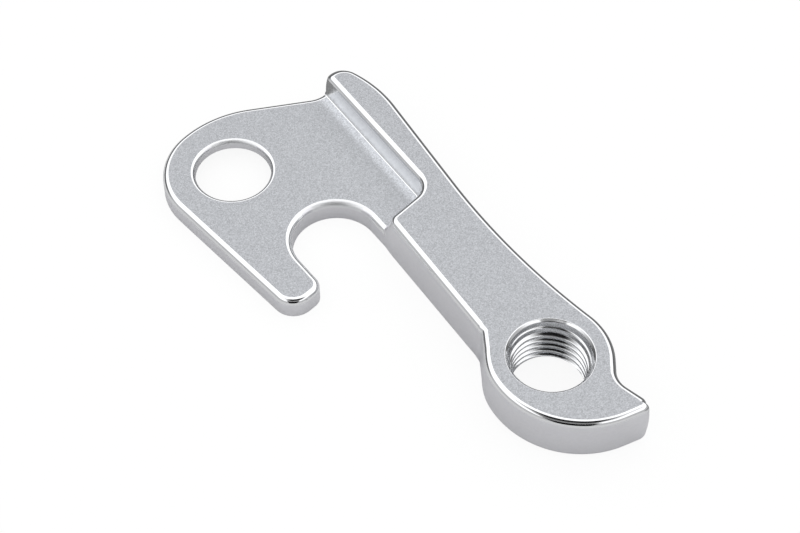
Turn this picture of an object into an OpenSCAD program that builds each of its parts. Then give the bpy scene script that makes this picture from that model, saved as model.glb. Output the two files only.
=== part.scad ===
// Derailleur hanger for a bicycle frame, milled from one aluminium plate.
// The thin plate carries the bolt hole and the axle slot. It clamps against the
// frame's dropout, whose edge stops against the milled step. The thick arm carries
// the threaded boss for the derailleur and the tab that its screw bears on.
// Units are millimetres. The origin is on the axis of the threaded hole, in the
// plane of the flat back. +Z points from the flat back to the stepped face.

/* [Thickness] */
// Thickness of the thin plate
plate_t = 3.0; // [2.2:0.1:4.5]
// Thickness of the arm and its boss
arm_t = 6.8; // [5.5:0.1:9]
// Width of the 45 degree chamfer along the outer edges
edge_c = 0.55; // [0.2:0.05:0.7]

/* [Threaded hole] */
// Diameter of the tapped hole at the crests of its thread
thread_minor_d = 8.92; // [8:0.02:10.5]
// Diameter of the countersink at the mouth of the tapped hole
thread_mouth_d = 10.64; // [10.4:0.02:12]
// Width of the small chamfer where the tapped hole meets the flat back
thread_back_c = 0.25; // [0.1:0.05:0.6]

/* [Bolt hole] */
// Distance from the tapped hole to the bolt hole, across the arm
bolt_dx = 38.9; // [36:0.1:46]
// Distance from the tapped hole to the bolt hole, along the bike
bolt_dy = 31.6; // [29:0.1:36]
// Diameter of the bolt hole
bolt_d = 9.7; // [8:0.1:11]
// Width of the chamfer at the mouth of the bolt hole
bolt_c = 0.5; // [0.2:0.05:0.7]
// Diameter of the recess in the flat back for the flange of the fixing bolt
recess_d = 13.2; // [12:0.1:14]
// Depth of that recess
recess_h = 1.6; // [1.0:0.1:1.8]

/* [Plate outline] */
// Radius of the round end about the bolt hole
end_r = 8.95; // [8.6:0.05:11]
// Radius of the shoulder between the round end and the upper edge
shoulder_r = 14.5; // [8:0.5:14.5]
// Distance of the upper edge from the axis of the bolt hole
upper_d = 10.25; // [9.8:0.05:11]

/* [Axle slot] */
// Width of the slot for the wheel's axle
slot_w = 10.9; // [10:0.1:12]
// Distance from the bolt hole to the end centre of the slot, across the arm
slot_dx = 13.3; // [12.8:0.1:15]
// Distance from the bolt hole to the end centre of the slot, along the bike
slot_dy = 11.0; // [10.5:0.1:13]
// Distance from the slot's end centre to the tip of the hook
hook_l = 4.2; // [2.5:0.1:8]
// Radius of the outer corner of the hook's tip
hook_outer_r = 2.8; // [1.2:0.1:3.2]
// Radius of the inner corner of the hook's tip
hook_inner_r = 1.8; // [1.2:0.1:2.2]

/* [Arm] */
// Distance of the milled step from the left edge of the arm
step_d = 7.12; // [4:0.02:8.5]
// Distance of the step's lower end from the tapped hole
step_end = 28.0; // [25:0.1:30]
// Radius of the step's inner corner
step_inner_r = 2.6; // [1:0.1:3]
// Radius of the step's outer corner
step_outer_r = 2.1; // [1:0.1:2.5]
// Radius of the corner where the step runs out at the horn
step_top_r = 0.6; // [0.6:0.01:0.65]
// Distance of the upper stretch of the arm's right edge from the tapped hole
right_upper_d = 4.0; // [3.2:0.1:6]
// Radius of the long hollow in the arm's right edge
hollow_r = 99; // [60:1:99]

/* [Horn] */
// Radius of the horn's back
horn_back_r = 17.4; // [14:0.1:20]
// Radius of the horn's tip
horn_tip_r = 2.4; // [2.2:0.05:2.6]
// Distance of the horn's tip from the tapped hole, along the bike
horn_y = 43.7; // [43.2:0.05:44.2]
// Radius of the hollow between the horn and the upper edge of the plate
horn_root_r = 3.4; // [1.5:0.1:3.5]

/* [Boss] */
// Distance of the boss's left flank from the tapped hole
boss_left = 7.7; // [7:0.1:9]
// Distance of the boss's right flank from the tapped hole
boss_right = 7.65; // [7:0.1:9]
// Radius of the boss's round bottom
boss_bottom_r = 11.3; // [10.5:0.1:12]
// Radius of the boss's right shoulder
boss_top_r = 8.7; // [6:0.1:9]
// Distance of the boss's upper right side from the tapped hole
boss_side_d = 7.8; // [7.4:0.1:9]
// Radius of the hollow where the arm runs into the boss
boss_neck_r = 2.0; // [0.8:0.1:4]

/* [Stop tab] */
// Distance of the tab's lower edge from the tapped hole
tab_lower_d = 11.15; // [10.6:0.05:11.6]
// Distance of the tab's upper edge from the tapped hole
tab_upper_d = 2.35; // [1.6:0.05:3]
// Radius of the tab's tip
tab_tip_r = 0.95; // [0.7:0.05:1.4]
// Radius of the hollow between the tab and the boss
tab_root_r = 2.9; // [1:0.1:4]

/* [Hidden] */
$fn = 96;
metal = [0.76, 0.77, 0.78];
slack = 0.05;
arc_error = 0.003;
through = 1;

thread_pos = [0, 0];
bolt_pos = [-bolt_dx, bolt_dy];
slot_pos = bolt_pos + [slot_dx, -slot_dy];
slot_r = slot_w / 2;
bolt_r = bolt_d / 2;

// Directions, in degrees, in which the straight edges face
shoulder_face = 140.4;
upper_face = 101.1;
hook_outer_face = 222.2;
hook_tip_face = 316;
hook_inner_face = 36.9;
slot_end_face = 305.3;
arm_left_face = 213.8;
step_face = 214.7;
step_end_face = 137;
horn_tip_face = 140;
horn_back_face = 58.3;
right_upper_face = 30;
boss_side_face = 44.9;
boss_right_face = 359.1;
tab_upper_face = 49.6;
tab_lower_face = 296.9;
boss_left_face = 184.1;

function dir(a) = [cos(a), sin(a)];

// A straight edge that faces direction a, at distance d from the point p
function edge(p, a, d) = [a, d + p * dir(a)];

// The point where two edges meet once both are moved in by s
function meet(e, f, s = 0) =
    let (n = dir(e[0]), m = dir(f[0]), k = n[0] * m[1] - n[1] * m[0], d = e[1] - s, g = f[1] - s)
    [(d * m[1] - g * n[1]) / k, (n[0] * g - m[0] * d) / k];

// Turn from one edge to the next, positive at an outer corner
function turn(e, f) = (f[0] - e[0] + 540) % 360 - 180;

// Each corner of an outline: [sharp point, arc centre, radius, first angle, turn]
function corners(o) = [for (i = [0 : len(o) - 1])
    let (e = o[i][0], r = o[i][1], f = o[(i + 1) % len(o)][0], t = turn(e, f), s = t > 0 ? r : -r)
    [meet(e, f), meet(e, f, s), r, t > 0 ? e[0] : e[0] + 180, t]];
function arc_start(c) = c[1] + c[2] * dir(c[3]);
function arc_end(c) = c[1] + c[2] * dir(c[3] + c[4]);

upper_edge = edge(bolt_pos, upper_face, upper_d);
arm_left_edge = edge(slot_pos, arm_left_face, -slot_r);
step_edge = [step_face, arm_left_edge[1] - step_d];
step_end_edge = edge(thread_pos, step_end_face, step_end);
right_upper_edge = edge(thread_pos, right_upper_face, right_upper_d);

// The horn's back is one arc that ends tangent to the tip's arc
horn_back_x = (right_upper_edge[1] - horn_back_r - dir(right_upper_face)[1] *
    (horn_y - (horn_back_r - horn_tip_r) * dir(horn_back_face)[1])) / dir(right_upper_face)[0];
horn_pos = [horn_back_x + (horn_back_r - horn_tip_r) * dir(horn_back_face)[0], horn_y];
horn_back_edge = edge(horn_pos, horn_back_face, horn_tip_r);
horn_tip_edge = edge(horn_pos, horn_tip_face, horn_tip_r);

// Edges from the boss's neck round to the horn, with the radius of the corner after each
boss_to_horn = [
    [arm_left_edge, boss_neck_r],
    [edge(thread_pos, boss_left_face, boss_left), boss_bottom_r],
    [edge(thread_pos, tab_lower_face, tab_lower_d), tab_tip_r],
    [edge(thread_pos, tab_upper_face, tab_upper_d), tab_root_r],
    [edge(thread_pos, boss_right_face, boss_right), boss_top_r],
    [edge(thread_pos, boss_side_face, boss_side_d), hollow_r],
    [right_upper_edge, horn_back_r],
    [horn_back_edge, horn_tip_r]];

// Edges from the horn's root over the bolt hole and the hook into the slot
root_to_slot = [
    [horn_tip_edge, horn_root_r],
    [upper_edge, shoulder_r],
    [edge(bolt_pos, shoulder_face, end_r), end_r],
    [edge(bolt_pos, hook_outer_face, end_r), hook_outer_r],
    [edge(slot_pos, hook_tip_face, hook_l), hook_inner_r],
    [edge(slot_pos, hook_inner_face, -slot_r), slot_r],
    [edge(slot_pos, slot_end_face, -slot_r), slot_r]];

plate_corners = corners(concat(boss_to_horn, root_to_slot));
arm_corners = corners(concat(boss_to_horn,
    [[horn_tip_edge, step_top_r], [step_edge, step_inner_r], [step_end_edge, step_outer_r]]));

// The points of a corner's arc, moved in by s, close enough to stay within arc_error of it
function arc_points(c, s, first) =
    let (k = max(2, ceil(abs(c[4]) / (2 * acos(1 - arc_error / c[2])))), r = c[4] > 0 ? c[2] - s : c[2] + s)
    [for (i = [first : k]) c[1] + r * dir(c[3] + c[4] * i / k)];

// The points of a run of corners. Where one arc starts at the end of the last, that point comes once.
function path_points(cs, s) = [for (i = [0 : len(cs) - 1])
    let (joined = i > 0 && norm(arc_start(cs[i]) - arc_end(cs[i - 1])) < 0.001)
    each arc_points(cs[i], s, joined ? 1 : 0)];

function raised(row, z) = [for (p = row) [p[0], p[1], z]];

// Point numbers of row k, where each row has n points
function row(k, n) = [for (i = [0 : n - 1]) k * n + i];

// Sides between two closed rows of point numbers, the second above the first
function band(low, high) = let (n = len(low))
    [for (i = [0 : n - 1]) [low[i], high[i], high[(i + 1) % n], low[(i + 1) % n]]];

// A plate of thickness h with the outline cs and a 45 degree chamfer along its upper edge
module chamfered_plate(cs, h) {
    outer = path_points(cs, 0);
    n = len(outer);
    top = row(2, n);
    polyhedron(
        concat(raised(outer, 0), raised(outer, h - edge_c), raised(path_points(cs, edge_c), h)),
        concat([row(0, n)], band(row(0, n), row(1, n)), band(row(1, n), top),
            [[for (i = [n - 1 : -1 : 0]) top[i]]]),
        convexity = 6);
}

// The thin plate and the thick arm as one body, as high as the arm
module blank() {
    resize([0, 0, arm_t]) union() {
        chamfered_plate(plate_corners, plate_t);
        chamfered_plate(arm_corners, arm_t);
    }
}

// A 45 degree chamfer of width w at the mouth of a hole of radius r whose edge is at height h
module hole_mouth(pos, r, w, h) {
    translate([pos[0], pos[1], h - w]) cylinder(r1 = r, r2 = r + w + slack, h = w + slack);
}

module hanger() {
    thread_r = thread_minor_d / 2;
    back_r = thread_r + thread_back_c;
    color(metal) difference() {
        blank();
        translate([0, 0, -through]) cylinder(r = thread_r, h = arm_t + 2 * through);
        hole_mouth(thread_pos, thread_r, thread_mouth_d / 2 - thread_r, arm_t);
        translate([0, 0, -slack])
            cylinder(r1 = back_r + slack, r2 = thread_r, h = thread_back_c + slack);
        translate([bolt_pos[0], bolt_pos[1], -through]) cylinder(r = bolt_r, h = plate_t + 2 * through);
        hole_mouth(bolt_pos, bolt_r, bolt_c, plate_t);
        translate([bolt_pos[0], bolt_pos[1], -through]) cylinder(d = recess_d, h = recess_h + through);
    }
}

hanger();
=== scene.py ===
# %% [markdown]
# # A milled derailleur hanger
# A derailleur hanger is the small aluminium bracket that a bicycle's rear derailleur
# screws into. This one was milled from flat bar, given a satin finish, and its upper
# edges were cut bright. The lesson builds it as one closed mesh, from the same sizes
# as the solid. It adds what the solid leaves out: edges that are round where the
# solid has a flat chamfer, the hollow at the foot of the milled step, and the turns
# of the thread.

# %% The frame that everything is built in
import math

import bmesh
import bpy
import numpy as np
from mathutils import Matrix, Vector


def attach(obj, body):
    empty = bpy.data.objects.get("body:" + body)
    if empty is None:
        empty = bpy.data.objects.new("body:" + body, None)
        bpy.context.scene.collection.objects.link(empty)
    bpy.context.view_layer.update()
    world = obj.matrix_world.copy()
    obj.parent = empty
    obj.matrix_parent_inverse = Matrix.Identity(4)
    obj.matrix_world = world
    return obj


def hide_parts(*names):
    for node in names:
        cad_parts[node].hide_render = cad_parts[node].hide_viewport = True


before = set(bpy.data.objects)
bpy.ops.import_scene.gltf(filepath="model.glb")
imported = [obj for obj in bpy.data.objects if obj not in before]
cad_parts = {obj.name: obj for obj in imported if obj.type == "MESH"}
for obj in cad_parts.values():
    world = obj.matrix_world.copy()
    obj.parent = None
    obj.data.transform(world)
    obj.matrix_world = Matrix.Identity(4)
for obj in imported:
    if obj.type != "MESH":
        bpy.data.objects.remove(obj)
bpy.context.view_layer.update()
scene = bpy.context.scene
MM = 0.001

# %% [markdown]
# ## Materials
# All surfaces are the same aluminium, and what differs is how each was finished. A
# bare metal shows only what is around it, so a finish is a shade and a roughness.
# Each row of faces gets the finish of the tool that made it. That is simpler than a
# mask, because the outline already says which row is which.

# %% Two small helpers
def linear(code):
    """The linear colour of an sRGB hex value."""
    parts = [int(code[i:i + 2], 16) / 255 for i in (1, 3, 5)]
    return [p / 12.92 if p <= 0.04045 else ((p + 0.055) / 1.055) ** 2.4 for p in parts] + [1.0]


def add_node(tree, kind, settings=None, **links):
    """Adds a node. Its inputs go by name, or by number as _0, _1 and _2."""
    node = tree.nodes.new(kind)
    for name, value in (settings or {}).items():
        setattr(node, name, value)
    for name, value in links.items():
        socket = node.inputs[int(name[1:]) if name[0] == "_" else name.replace("_", " ")]
        if isinstance(value, bpy.types.NodeSocket):
            tree.links.new(value, socket)
        else:
            socket.default_value = value
    return node


print("middle grey is", round(linear("#808080")[0], 3), "in linear light")

# %% [markdown]
# ## A finish with grain
# Fine grit leaves pits too small to see one by one. They show as a faint speckle, so
# a noise with a cell of a tenth of a millimetre or so lightens and darkens the shade.
# A slight bump from the same noise breaks up the reflection with it.

# %% One function for every finish
def aluminium(name, shade, roughness, speckle, grain_mm, bump=0.0):
    """Bare or satin aluminium. The speckle lightens and darkens the shade by that share."""
    material = bpy.data.materials.new(name)
    material.use_nodes = True
    tree = material.node_tree
    tree.nodes.clear()
    place = add_node(tree, "ShaderNodeTexCoord").outputs["Object"]
    grain = add_node(tree, "ShaderNodeTexNoise", {"noise_dimensions": "3D"},
                     Vector=place, Scale=1 / (grain_mm * MM), Detail=2.0, Roughness=0.6)
    spread = add_node(tree, "ShaderNodeMapRange", {"name": "speckle"}, Value=grain.outputs[0],
                      From_Min=0.3, From_Max=0.7, To_Min=1 - speckle, To_Max=1 + speckle)
    tint = add_node(tree, "ShaderNodeVectorMath", {"name": "tint", "operation": "SCALE"},
                    _0=linear(shade)[:3], Scale=spread.outputs[0])
    surface = add_node(tree, "ShaderNodeBsdfPrincipled", Base_Color=tint.outputs[0],
                       Metallic=1.0, Roughness=roughness)
    add_node(tree, "ShaderNodeOutputMaterial", Surface=surface.outputs[0])
    if bump:
        pits = add_node(tree, "ShaderNodeBump", Strength=bump, Distance=0.02 * MM, Height=grain.outputs[0])
        tree.links.new(pits.outputs[0], surface.inputs["Normal"])
    return material


print("aluminium() is ready")

# %% The finishes of the hanger
# Satin flats: soft, even and slightly cool grey.
satin_flat = aluminium("satin_blasted_aluminium", "#B6B8BC", 0.45, speckle=0.27, grain_mm=0.14, bump=0.15)
# Bright cut edges: nearly a mirror.
bright_cut = aluminium("bright_cut_aluminium", "#F2F3F5", 0.09, speckle=0.01, grain_mm=0.5)
# Milled walls: smooth, with a soft reflection.
milled_wall = aluminium("milled_wall_aluminium", "#EDEDF1", 0.3, speckle=0.02, grain_mm=0.4)
# The wall of the step: painted a little paler than the other walls, as painted light for the brighter light
# it catches beside the step.
step_wall = aluminium("milled_step_aluminium", "#FAFBFC", 0.3, speckle=0.03, grain_mm=0.4)
# Tapped thread: shiny flanks from the tap.
tapped_thread = aluminium("tapped_thread_aluminium", "#EDEEF0", 0.11, speckle=0.01, grain_mm=0.5)
# Rims inside the holes: cut too, but duller.
dull_rim = aluminium("tumbled_rim_aluminium", "#F2F3F5", 0.45, speckle=0.02, grain_mm=0.4)
FINISHES = (satin_flat, bright_cut, milled_wall, tapped_thread, step_wall, dull_rim)
FACE, CUT, WALL, TURNED, STEP, RIM = range(6)
print("finishes:", [m.name for m in FINISHES])

# %% [markdown]
# ## The painted light strip beside the step
# On the plate, a strip a millimetre or so wide along the step is painted lighter than
# the rest. This painted light makes up for the shade the step casts there, and the wall
# above reflects it. It follows a straight line, so one distance from that line is enough to place it.

# %% The painted light strip, in the satin finish
STEP_FACING = 214.7
STRIP_FULL, STRIP_END, STRIP_GAIN, ABOVE_PLATE = -2.4, -1.2, 0.5, 4.0
tree = satin_flat.node_tree
spot = add_node(tree, "ShaderNodeTexCoord").outputs["Object"]
towards_plate = (math.cos(math.radians(STEP_FACING)), math.sin(math.radians(STEP_FACING)), 0)
away = add_node(tree, "ShaderNodeVectorMath", {"operation": "DOT_PRODUCT"}, _0=spot, _1=towards_plate)
gain = add_node(tree, "ShaderNodeMapRange", {"interpolation_type": "SMOOTHSTEP"},
                Value=away.outputs["Value"], From_Min=STRIP_FULL * MM, From_Max=STRIP_END * MM,
                To_Min=STRIP_GAIN, To_Max=0.0)
height = add_node(tree, "ShaderNodeSeparateXYZ", Vector=spot).outputs["Z"]
low = add_node(tree, "ShaderNodeMath", {"operation": "LESS_THAN"}, _0=height, _1=ABOVE_PLATE * MM)
# Painted light: inside the strip and below the arm, the satin shade is made up to STRIP_GAIN lighter.
painted_light_strip = add_node(tree, "ShaderNodeMath", {"operation": "MULTIPLY_ADD"},
                  _0=gain.outputs[0], _1=low.outputs[0], _2=1.0)
brighter = add_node(tree, "ShaderNodeMath", {"operation": "MULTIPLY"},
                    _0=tree.nodes["speckle"].outputs[0], _1=painted_light_strip.outputs[0])
tree.links.new(brighter.outputs[0], tree.nodes["tint"].inputs["Scale"])
print("the strip is up to", STRIP_GAIN, "lighter and fades over", round(STRIP_END - STRIP_FULL, 1), "mm")

# %% [markdown]
# ## The outline as straight edges with rounded corners
# A milling cutter leaves an outline of straight lines and true arcs that run into
# each other smoothly. Each straight edge is given by the direction it faces and its
# distance from a point, and each corner by the radius of its arc. That is shorter
# than a list of traced points, and every arc can be cut as finely as the render
# needs. Angles are in degrees and lengths in millimetres.

# %% Sizes of the hanger
PLATE_T, ARM_T = 3.0, 6.8
THREAD = np.array([0.0, 0.0])
BOLT = np.array([-38.9, 31.6])
SLOT = BOLT + [13.3, -11.0]
SLOT_R = 5.45


def facing(angle):
    return np.array([math.cos(math.radians(angle)), math.sin(math.radians(angle))])


def edge(point, angle, distance):
    return angle, distance + float(point @ facing(angle))


def meet(first, second, inset=0.0):
    return np.linalg.solve([facing(first[0]), facing(second[0])], [first[1] - inset, second[1] - inset])


arm_left = edge(SLOT, 213.8, -SLOT_R)
right_upper = edge(THREAD, 30, 4.0)
HORN_R, HORN_BACK_R, HORN_Y = 2.4, 17.4, 43.7
back_x = (right_upper[1] - HORN_BACK_R - facing(30)[1]
          * (HORN_Y - (HORN_BACK_R - HORN_R) * facing(58.3)[1])) / facing(30)[0]
HORN = np.array([back_x + (HORN_BACK_R - HORN_R) * facing(58.3)[0], HORN_Y])
horn_tip = edge(HORN, 140, HORN_R)
print("the horn's tip is centred at", HORN.round(2))

# %% Edges with the radius of the corner after each
boss_to_horn = [
    (arm_left, 2.0),
    (edge(THREAD, 184.1, 7.7), 11.3),
    (edge(THREAD, 296.9, 11.15), 0.95),
    (edge(THREAD, 49.6, 2.35), 2.9),
    (edge(THREAD, 359.1, 7.65), 8.7),
    (edge(THREAD, 44.9, 7.8), 99.0),
    (right_upper, HORN_BACK_R),
    (edge(HORN, 58.3, HORN_R), HORN_R)]
root_to_slot = [
    (horn_tip, 3.4),
    (edge(BOLT, 101.1, 10.25), 14.5),
    (edge(BOLT, 140.4, 8.95), 8.95),
    (edge(BOLT, 222.2, 8.95), 2.8),
    (edge(SLOT, 316, 4.2), 1.8),
    (edge(SLOT, 36.9, -SLOT_R), SLOT_R),
    (edge(SLOT, 305.3, -SLOT_R), SLOT_R)]
# The arm's own end at the horn lies inside the plate's, with a tighter corner at the step.
step_edge = (STEP_FACING, arm_left[1] - 7.32)
step_end = edge(THREAD, 137, 28.0)
CAP_R, CAP_CORNER_R = 2.4, 0.85
cap_tip = (140, horn_tip[1] - 0.74)
back_centre = HORN - (HORN_BACK_R - HORN_R) * facing(58.3)
reach = cap_tip[1] - CAP_R - float(back_centre @ facing(cap_tip[0]))
cap_back = cap_tip[0] - math.degrees(math.acos(reach / (HORN_BACK_R - CAP_R)))
step = [
    (edge(back_centre, cap_back, HORN_BACK_R), CAP_R),
    (cap_tip, CAP_CORNER_R),
    (step_edge, 2.6),
    (step_end, 1.3)]
print("the back of the cap faces", round(cap_back, 1), "degrees")


def trace(edges, spacing=None):
    """Points of the rounded outline and the direction each one faces."""
    points, faces = [], []
    for i, (first, radius) in enumerate(edges):
        second = edges[(i + 1) % len(edges)][0]
        turn = (second[0] - first[0] + 540) % 360 - 180
        signed = radius if turn > 0 else -radius
        centre = meet(first, second, signed)
        count = max(4, math.ceil(abs(turn) / (2 * math.degrees(math.acos(1 - 0.0012 / radius)))))
        for k in range(count + 1):
            out = facing(first[0] + turn * k / count)
            point = centre + signed * out
            if points and np.hypot(*(point - points[-1])) < 1e-4:
                continue
            if spacing and points and k == 0:
                gap = point - points[-1]
                for _ in range(1, int(np.hypot(*gap) / spacing)):
                    points.append(points[-1] + gap / int(np.hypot(*gap) / spacing))
                    faces.append(out)
            points.append(point)
            faces.append(out)
    return np.array(points), np.array(faces)


plate_line = trace(boss_to_horn + root_to_slot)
arm_line = trace(boss_to_horn[:-1] + step, spacing=0.4)
print("outline points: plate", len(plate_line[0]), "and arm", len(arm_line[0]))

# %% [markdown]
# ## A plate with rounded edges
# Each plate is a stack of rows of points that follow the outline at a small inset.
# The profile starts at the flat back with a tiny break, goes up the wall, and turns
# over the edge in a quarter round. That round catches both the white roof and the
# dark opening of the light tent, so it is real geometry here. Rows of an outline
# keep one smooth band of faces for each finish, which a bevel would have to find.

# %% The profile of an edge, as inset, height and finish
EDGE_R, BREAK = 0.75, 0.18
LOW_ROWS, HIGH_ROWS = 7, 19


def profile(thickness, low_round=BREAK):
    """From the flat back over the wall to the flat top."""
    rows = []
    for k in range(LOW_ROWS):
        a = math.radians(-90 + 90 * k / (LOW_ROWS - 1))
        rows.append((low_round * (1 - math.cos(a)), low_round * (1 + math.sin(a)), WALL))
    for k in range(HIGH_ROWS):
        a = math.radians(90 * k / (HIGH_ROWS - 1))
        height = thickness - EDGE_R * (1 - math.sin(a))
        rows.append((EDGE_R * (1 - math.cos(a)), height, CUT if k else WALL))
    return rows


print("an edge takes", len(profile(PLATE_T)), "rows")


# %% From rows to a mesh
def add_rows(mesh, rows, kinds):
    """Closed rings of points joined by faces, with a flat lid at each end."""
    rings = [[mesh.verts.new(Vector(p) * MM) for p in row] for row in rows]
    for low, high, kind in zip(rings, rings[1:], kinds[1:]):
        for i in range(len(low)):
            j = (i + 1) % len(low)
            face = mesh.faces.new((low[i], low[j], high[j], high[i]))
            face.material_index = int(np.broadcast_to(kind, len(low))[i])
    mesh.faces.new(rings[0][::-1]).material_index = FACE
    mesh.faces.new(rings[-1]).material_index = FACE


def as_object(mesh, name, finishes=FINISHES):
    """Turns the mesh into an object that carries every finish."""
    bmesh.ops.recalc_face_normals(mesh, faces=mesh.faces)
    data = bpy.data.meshes.new(name)
    mesh.to_mesh(data)
    mesh.free()
    for finish in finishes:
        data.materials.append(finish)
    piece = bpy.data.objects.new(name, data)
    scene.collection.objects.link(piece)
    return piece


print("rows become a closed body with a lid at each end")

# %% [markdown]
# ## Where a row leaves the plain outline
# The tips of the tab and the hook are a little fuller than a straight wall, and some
# rims are duller than others. Both follow from where a point lies on the outline, so
# each is worked out for a whole row at a time.


# %% Rows that swell, and rims by direction
def ease(x):
    """A smooth step from 0 to 1."""
    x = np.clip(x, 0, 1)
    return x * x * (3 - 2 * x)


def ring(line, inset, height, tip, out=0.0, shift=0.0):
    """One row of points. At its tip the wall swells most at half height."""
    place, reach, swell, thickness = tip
    near = np.exp(-(np.hypot(*(line[0] - place).T) / reach) ** 2)
    inset = np.broadcast_to(inset, len(line[0])) - out
    inset = inset - swell * near * np.sin(math.pi * height / thickness)
    points = line[0] - line[1] * inset[:, None] + shift
    return np.column_stack([points, np.broadcast_to(height, len(points))])


def rim_kind(off_far, inside=True):
    """The finish of a rim, duller where it faces the front, by the degrees away from that."""
    return np.where(inside & (off_far < 35), RIM, np.where(inside & (off_far < 50), WALL, CUT))


# The two tips are rounder than the rest: place, reach, swelling of the wall, thickness.
TAB_TIP = np.array([10.6, -6.4]), 2.2, 0.25, ARM_T
HOOK_TIP = np.array([-21.6, 12.4]), 1.8, 0.3, PLATE_T
print("the tips swell by", TAB_TIP[2], "and", HOOK_TIP[2], "mm")

# %% The thin plate
# Where the arm covers it, the thin plate stays a little inside the arm's walls.
behind_step = step_edge[1] - plate_line[0] @ facing(step_edge[0])
behind_end = step_end[1] - plate_line[0] @ facing(step_end[0])
within = 0.8 * ease((np.maximum(behind_step, behind_end) - 1.5) / 2.5)
in_slot = np.hypot(*(plate_line[0] - SLOT).T) < SLOT_R + 0.3
off_far = np.abs(np.degrees(np.arctan2(plate_line[1][:, 1], plate_line[1][:, 0])) + 90)
slot_kind = rim_kind(off_far, in_slot)
shape = profile(PLATE_T)
mesh = bmesh.new()
add_rows(mesh, [ring(plate_line, inset + within, z, HOOK_TIP) for inset, z, _ in shape],
         [np.where(kind == CUT, slot_kind, kind) for *_, kind in shape])
hanger = as_object(mesh, "hanger_body")
print("the thin plate has", len(hanger.data.polygons), "faces")

# %% [markdown]
# ## The arm, and the foot of the step
# The cutter that milled the step had a slightly rounded nose, so a small hollow runs
# along the foot of the wall and shows as a bright line. Here the arm's wall flares
# out into the plate by that radius, and the flare fades away where the step reaches
# the outline. Two ends of the step lean outwards towards the foot. At the slot the
# lean cuts a notch into the plate's edge, and at the horn it meets the outline of the
# plate. Moving each row along the step makes both leans without a new outline.

# %% How each point of the arm's outline differs from a plain wall
HOLLOW, BOSS_OUT, BOSS_LOW_ROUND = 0.28, 0.42, 0.95
NOTCH_LEAN, HORN_LEAN = 1.75, 0.8


def distance_inside(points, line):
    """The distance from each point to the nearest part of a closed line."""
    start, end = line[0], np.roll(line[0], -1, axis=0)
    along = end - start
    part = ((points[:, None] - start) * along).sum(2) / (along ** 2).sum(1)
    nearest = start + np.clip(part, 0, 1)[..., None] * along
    return np.hypot(*(points[:, None] - nearest).transpose(2, 0, 1)).min(1)


depth = distance_inside(arm_line[0], plate_line)
turned = np.degrees(np.arctan2(arm_line[1][:, 1], arm_line[1][:, 0])) % 360
ahead = arm_line[0] @ facing(STEP_FACING - 90)
# The front of the boss stands out a little more than the rest, over a rounder lower edge.
boss = ease(-arm_line[1][:, 1] / 0.45) * ease((7 - arm_line[0][:, 1]) / 4)
by_slot = (ahead > 25) & (ahead < 40) & (turned > step_end[0] - 1) & (turned < arm_left[0] + 0.1)
by_slot = by_slot * ease((arm_left[0] - turned) / 35) * ease((4.5 - depth) / 3)
by_horn = (turned < 215) * ease((turned - 62) / 50) * ease((ahead - 47) / 3.8)
flare = HOLLOW * ease((depth - 0.5) / 0.9) * (1 - by_slot)
print("points that lean at the slot:", int((by_slot > 0).sum()), "and at the horn:", int((by_horn > 0).sum()))


# %% The arm, row by row
def slide(height):
    """How far the wall has moved along the step at that height."""
    notch = NOTCH_LEAN * by_slot * np.clip((6 - height) / 3.5, 0, 1) ** 1.2
    horn = HORN_LEAN * by_horn * (1 - np.clip((height - 3.2) / 3.6, 0, 1) ** 2)
    return (notch + horn)[:, None] * facing(124.2)


foot_kind = np.where(flare > 0.01, CUT, WALL)
wall_kind = np.where(flare > 0.01, STEP, WALL)
shape = profile(ARM_T, BREAK + (BOSS_LOW_ROUND - BREAK) * boss)
foot = [(0.0, 2.3, WALL), (-flare * (1 - math.sin(math.radians(15))), 2.35, WALL)]
for k in range(9):
    a = math.radians(15 + 75 * k / 8)
    height = PLATE_T + HOLLOW * (1 - math.cos(a)) - 0.001 * (8 - k)
    foot.append((-flare * (1 - math.sin(a)), height, foot_kind))
wall = [(0.0, height, wall_kind) for height in (3.6, 4.0, 4.4, 4.8, 5.2, 5.6)]
wall.append((*shape[LOW_ROWS][:2], wall_kind))
stack = shape[:LOW_ROWS] + foot + wall + shape[LOW_ROWS + 1:]
mesh = bmesh.new()
add_rows(mesh, [ring(arm_line, inset, z, TAB_TIP, BOSS_OUT * boss, slide(z)) for inset, z, _ in stack],
         [kind for *_, kind in stack])
arm = as_object(mesh, "arm_body")
print("the arm has", len(arm.data.polygons), "faces")

# %% [markdown]
# ## The holes
# A hole is cut with the shape of the tool that made it. The bolt hole is a drilled
# wall with a rounded mouth and a wider recess for the bolt's flange on the back.
# The tapped hole has an M10 x 1 thread, which is a groove that climbs one
# millimetre for each turn. The points of the cutter climb with it, so its ridges
# stay clean.

# %% The drilled hole
def turned_rows(steps, centre, count):
    """Rings about an upright axis, from (radius, height) pairs."""
    angle = np.arange(count) * 2 * math.pi / count
    return [np.column_stack([centre[0] + r * np.cos(angle), centre[1] + r * np.sin(angle),
                             np.full(count, z)]) for r, z in steps]


BOLT_R, MOUTH, RECESS_R, RECESS_H, SMALL = 4.85, 0.52, 6.6, 1.6, 0.0005
steps = [(RECESS_R + 0.12, -0.5), (RECESS_R + 0.12, 0.0), (RECESS_R, 0.12), (RECESS_R, RECESS_H),
         (BOLT_R + 0.06, RECESS_H), (BOLT_R, RECESS_H + 0.06)]
plain = len(steps) + 1
for k in range(13):
    a = math.radians(90 * k / 12)
    height = PLATE_T - MOUTH * (1 - math.sin(a)) - (SMALL if k == 12 else 0)
    steps.append((BOLT_R + MOUTH * (1 - math.cos(a)), height))
steps.append((BOLT_R + MOUTH, PLATE_T + 0.5))
AROUND = 160
mouth_kind = rim_kind(np.abs(np.arange(AROUND) * 360 / AROUND - 90))
mesh = bmesh.new()
add_rows(mesh, turned_rows(steps, BOLT, AROUND), [WALL] * plain + [mouth_kind] * (len(steps) - plain))
drill = as_object(mesh, "drill")
print("the bolt hole is", 2 * BOLT_R, "mm across")

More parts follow.
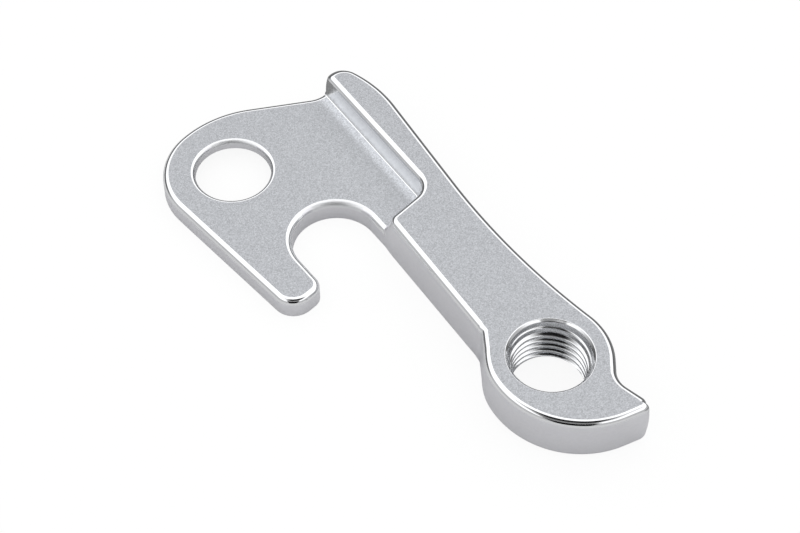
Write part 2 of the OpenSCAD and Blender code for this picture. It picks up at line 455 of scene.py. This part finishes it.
# %% The shape of the thread
PITCH, MINOR_R, MAJOR_R = 1.0, 4.46, 5.0
MOUTH_R, LEAD, LEAD_SLOPE = 5.32, 0.3, 0.25
COLUMNS, PER_TURN, SAMPLES = 144, 24, 480
LOW, HIGH = 0.0, ARM_T - 0.045
phase = np.arange(SAMPLES) / SAMPLES
ridge = np.clip((np.abs(phase - 0.5) - 0.0625) / 0.3125, 0, 1)
wave = MAJOR_R + (MINOR_R - MAJOR_R) * ridge
# A narrow blur rounds the crests and the roots, as a tap does.
blur = np.exp(-((phase - 0.5) / 0.03) ** 2 / 2)
wave = np.real(np.fft.ifft(np.fft.fft(wave) * np.fft.fft(np.fft.ifftshift(blur / blur.sum()))))


def tapped_radius(z, turn):
    """The radius of the hole at that height and share of a turn."""
    groove = np.interp((z / PITCH - turn) % 1.0, np.append(phase, 1.0), np.append(wave, wave[0]))
    deep = ARM_T - z
    mouth = np.where(deep < LEAD, MOUTH_R - deep, MOUTH_R - LEAD - LEAD_SLOPE * (deep - LEAD))
    return np.maximum(np.maximum(groove, mouth), MINOR_R + 0.25 - z)


print("the thread is M", 2 * MAJOR_R, "x", PITCH)

# %% The tapped hole
mesh = bmesh.new()
levels = int((HIGH - LOW) / PITCH + 3) * PER_TURN
grid = {}
for i in range(COLUMNS):
    turn = i / COLUMNS
    z = np.clip(LOW + (np.arange(levels) / PER_TURN - 1 + turn) * PITCH, LOW, HIGH)
    r = tapped_radius(z, turn)
    for k in range(levels):
        if k and z[k] == z[k - 1]:
            grid[i, k] = grid[i, k - 1]
        else:
            a = 2 * math.pi * turn
            grid[i, k] = mesh.verts.new(Vector((r[k] * math.cos(a), r[k] * math.sin(a), z[k])) * MM)


def at(i, k):
    return grid[i, k] if i < COLUMNS else grid[0, min(k + PER_TURN, levels - 1)]


for i in range(COLUMNS):
    for k in range(levels - 1):
        corners = []
        for v in (at(i, k), at(i + 1, k), at(i + 1, k + 1), at(i, k + 1)):
            if v not in corners:
                corners.append(v)
        if len(corners) > 2:
            mesh.faces.new(corners).material_index = TURNED
SOFT = 0.14
side = SOFT * math.tan(math.radians(22.5))
rim = [(MOUTH_R + side - SOFT * math.cos(a), ARM_T - SOFT * (1 - math.sin(a)))
       for a in map(math.radians, (56, 67, 78))]
rim += [(MOUTH_R + side, ARM_T - SMALL), (MOUTH_R + side, ARM_T + 0.5)]
for level, steps in ((0, [(MINOR_R + 0.25, -0.5)]), (levels - 1, rim)):
    ends = [grid[i, level] for i in range(COLUMNS)]
    for radius, height in steps:
        new = [mesh.verts.new(Vector(p) * MM) for p in turned_rows([(radius, height)], THREAD, COLUMNS)[0]]
        for i in range(COLUMNS):
            j = (i + 1) % COLUMNS
            mesh.faces.new((ends[i], ends[j], new[j], new[i])).material_index = CUT
        ends = new
    mesh.faces.new(ends).material_index = CUT
tap = as_object(mesh, "tap")
print("the thread's cutter has", len(tap.data.polygons), "faces")

# %% [markdown]
# ## Joining and cutting
# Joining the two plates and cutting the holes with boolean steps gives the same
# meeting lines that the milling gave, such as the small notch where the plate's
# edge runs into the step. Shading then takes its direction from the large faces,
# so the flats stay flat right up to their rounded edges.

# %% One closed body
for cutter, action in ((arm, "UNION"), (drill, "DIFFERENCE"), (tap, "DIFFERENCE")):
    step_mod = hanger.modifiers.new(action.lower(), "BOOLEAN")
    step_mod.operation, step_mod.object, step_mod.solver = action, cutter, "MANIFOLD"
bpy.context.view_layer.update()
result = bpy.data.meshes.new_from_object(hanger.evaluated_get(bpy.context.evaluated_depsgraph_get()))
hanger.modifiers.clear()
hanger.data = result
for cutter in (arm, drill, tap):
    bpy.data.objects.remove(cutter)
result.shade_smooth()
result.set_sharp_from_angle(angle=math.radians(33))
weighted = hanger.modifiers.new("weighted", "WEIGHTED_NORMAL")
weighted.keep_sharp, weighted.weight = True, 80
hanger.name = "hanger_milled"
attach(hanger, "root")
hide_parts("hanger")
print("the hanger has", len(result.polygons), "faces, by finish:",
      np.bincount([face.material_index for face in result.polygons]).tolist())

# %% [markdown]
# ## Floor, light and camera
# The hanger lies on a white table inside a white light tent. A metal shows what is
# around it, so the tent matters more than the lamps: its walls give the white
# edges, and its dark front opening gives the dark streaks on the chamfers that face
# the viewer.

# %% How bright the table and the tent are in the metal
TABLE_NEAR, TABLE_FAR, SHADE_FROM, SHADE_TO = 0.6, 0.2, 4, 16
TENT_LOW, TENT_BACK, TENT_HIGH = 0.5, 0.12, 1.25
SEEN_GLOW = 0.9
print("in the metal the table goes from", TABLE_NEAR, "to", TABLE_FAR, "and the roof is", TENT_HIGH)

# %% The white table
mesh = bmesh.new()
bmesh.ops.create_grid(mesh, x_segments=1, y_segments=1, size=3.0)
table = as_object(mesh, "table", ())
white = bpy.data.materials.new("white_table")
white.use_nodes = True
tree = white.node_tree
tree.nodes.clear()
path = add_node(tree, "ShaderNodeLightPath")
place = add_node(tree, "ShaderNodeNewGeometry").outputs["Position"]
# Behind the hanger the table lies in shade, which the metal's far edges show as a dark line.
across = add_node(tree, "ShaderNodeVectorMath", {"operation": "DOT_PRODUCT"}, _0=place, _1=(0.64, 0.77, 0))
shade = add_node(tree, "ShaderNodeMapRange", {"interpolation_type": "SMOOTHSTEP"},
                 Value=across.outputs["Value"], From_Min=SHADE_FROM * MM, From_Max=SHADE_TO * MM,
                 To_Min=TABLE_NEAR, To_Max=TABLE_FAR).outputs[0]
paper = add_node(tree, "ShaderNodeBsdfDiffuse", Color=linear("#FAFAFA"))
grey = add_node(tree, "ShaderNodeCombineColor", Red=shade, Green=shade, Blue=shade)
mirrored = add_node(tree, "ShaderNodeBsdfDiffuse", Color=grey.outputs[0])
glow = add_node(tree, "ShaderNodeEmission", Color=(1, 1, 1, 1), Strength=1.0)
seen = add_node(tree, "ShaderNodeMath", {"operation": "MULTIPLY"},
                _0=path.outputs["Is Camera Ray"], _1=SEEN_GLOW)
lit = add_node(tree, "ShaderNodeMixShader", _0=seen.outputs[0], _1=paper.outputs[0], _2=glow.outputs[0])
both = add_node(tree, "ShaderNodeMixShader",
                _0=path.outputs["Is Glossy Ray"], _1=lit.outputs[0], _2=mirrored.outputs[0])
add_node(tree, "ShaderNodeOutputMaterial", Surface=both.outputs[0])
table.data.materials.append(white)
print("the table is", round(table.dimensions.x, 2), "metres wide")

# %% The tent around it
world = bpy.data.worlds.new("light_tent")
scene.world = world
world.use_nodes = True
tree = world.node_tree
tree.nodes.clear()
path = add_node(tree, "ShaderNodeLightPath")
outwards = add_node(tree, "ShaderNodeTexCoord").outputs["Generated"]
way = add_node(tree, "ShaderNodeSeparateXYZ", Vector=outwards)
# The roof of the tent is lit. Its walls stay dim up to about 30 degrees, most of all at the back.
walls = add_node(tree, "ShaderNodeMapRange", {"interpolation_type": "SMOOTHSTEP"},
                 Value=way.outputs["Y"], From_Min=0.0, From_Max=0.45, To_Min=TENT_LOW, To_Max=TENT_BACK)
power = add_node(tree, "ShaderNodeMapRange", {"interpolation_type": "SMOOTHSTEP"},
                 Value=way.outputs["Z"], From_Min=0.36, From_Max=0.52,
                 To_Min=walls.outputs[0], To_Max=TENT_HIGH)
backdrop = add_node(tree, "ShaderNodeBackground", Color=(1, 1, 1, 1), Strength=1.0)
tent = add_node(tree, "ShaderNodeBackground", Color=(1, 1, 1, 1), Strength=power.outputs[0])
pick = add_node(tree, "ShaderNodeMixShader",
                _0=path.outputs["Is Camera Ray"], _1=tent.outputs[0], _2=backdrop.outputs[0])
add_node(tree, "ShaderNodeOutputWorld", Surface=pick.outputs[0])
print("the tent's roof is", TENT_HIGH / TENT_LOW, "times as bright as its walls")


# %% The dark cards on the viewer's side
def panel(name, centre, size, towards, shade, strength=0.0, soft=(0.1, 0.1)):
    """A flat card of the tent that fades at its edges. Only the metal sees it."""
    card = bmesh.new()
    bmesh.ops.create_grid(card, x_segments=1, y_segments=1, size=0.5)
    piece = as_object(card, name, ())
    piece.scale = (size[0] * MM, size[1] * MM, 1)
    piece.location = Vector(centre) * MM
    piece.rotation_euler = (Vector(towards) - Vector(centre)).to_track_quat("Z", "Y").to_euler()
    piece.visible_camera = piece.visible_shadow = piece.visible_diffuse = False
    skin = bpy.data.materials.new(name)
    skin.use_nodes = True
    tree = skin.node_tree
    tree.nodes.clear()
    spot = add_node(tree, "ShaderNodeTexCoord").outputs["Object"]
    middle = add_node(tree, "ShaderNodeSeparateXYZ", Vector=spot)
    fades = []
    for axis, fade in zip("XY", soft):
        off = add_node(tree, "ShaderNodeMath", {"operation": "ABSOLUTE"}, _0=middle.outputs[axis])
        fades.append(add_node(tree, "ShaderNodeMapRange", {"interpolation_type": "SMOOTHSTEP"},
                              Value=off.outputs[0], From_Min=0.5 - fade, From_Max=0.5).outputs[0])
    faded = add_node(tree, "ShaderNodeMath", {"operation": "MAXIMUM"}, _0=fades[0], _1=fades[1])
    light = add_node(tree, "ShaderNodeEmission", Color=linear(shade), Strength=strength)
    clear = add_node(tree, "ShaderNodeBsdfTransparent")
    mix = add_node(tree, "ShaderNodeMixShader", _0=faded.outputs[0], _1=light.outputs[0], _2=clear.outputs[0])
    add_node(tree, "ShaderNodeOutputMaterial", Surface=mix.outputs[0])
    piece.data.materials.append(skin)
    return piece


cards = [
    panel("tent_opening", (-32, -286, 88), (250, 270), (-32, -234.5, 2.3), "#000000"),
    panel("lens_of_the_camera", (-5, -58, 158), (250, 104), (-5, -58, 0), "#000000", soft=(0.33, 0.12)),
    panel("dark_cloth", (-30, -137, 157.5), (200, 94), (-30, -137, 0), "#707070", 1.0)]
print("cards:", [card.name for card in cards])

# %% The camera
camera = bpy.data.objects.new("camera", bpy.data.cameras.new("camera"))
scene.collection.objects.link(camera)
camera.location = Vector((-17.6, -142.2, 207.0)) * MM
aim = Vector((-17.6, 18.35, 0.0)) * MM
camera.rotation_euler = (aim - camera.location).to_track_quat("-Z", "Y").to_euler()
camera.data.sensor_width, camera.data.lens = 36.0, 94.5
camera.data.clip_start = 0.01
scene.camera = camera
scene.view_settings.view_transform = "Standard"
print("camera", round((aim - camera.location).length / MM), "mm from the hanger")
